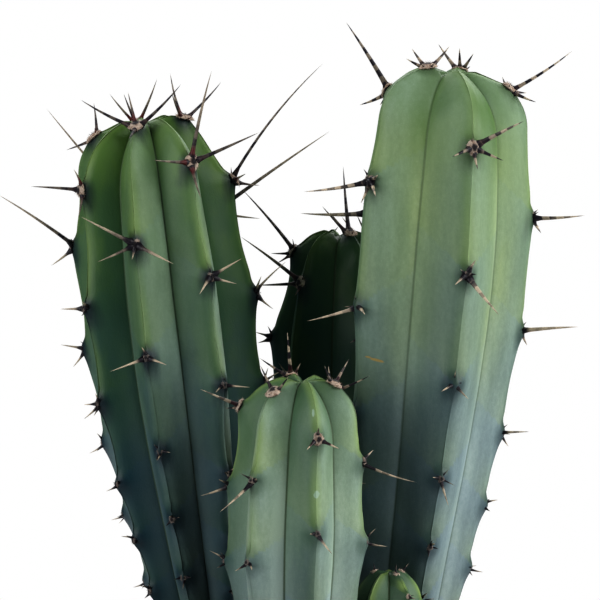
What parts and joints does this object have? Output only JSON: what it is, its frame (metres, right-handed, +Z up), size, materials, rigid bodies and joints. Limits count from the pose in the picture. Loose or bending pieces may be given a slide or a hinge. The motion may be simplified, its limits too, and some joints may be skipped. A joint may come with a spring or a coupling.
{
  "type": "potted blue candle cactus",
  "caption": "Clump of ribbed columnar cactus stems with dark spines along the rib crests, growing in soil in a plain tapered clay pot with a rim.",
  "frame": {"origin": "middle of the underside of the pot's foot, on the surface that the pot stands on", "axes": "+Z up along the stems; -Y towards the front, from where the short stem stands before the tall ones; +X to the right seen from the front"},
  "size_m": [0.2058, 0.174, 0.3896],
  "materials": {
    "stem_skin": "satin",
    "young_skin": "satin",
    "spine": "satin",
    "areole_wool": "matte",
    "soil": "matte",
    "grit": "matte",
    "clay": "matte"
  },
  "bodies": {
    "root": {"stem_left": "stem_skin", "stem_right": "stem_skin", "stem_front": "stem_skin", "stem_back": "stem_skin", "pup_right": "young_skin", "pup_left": "young_skin", "soil": "soil", "pot": "clay"}
  },
  "joints": []
}
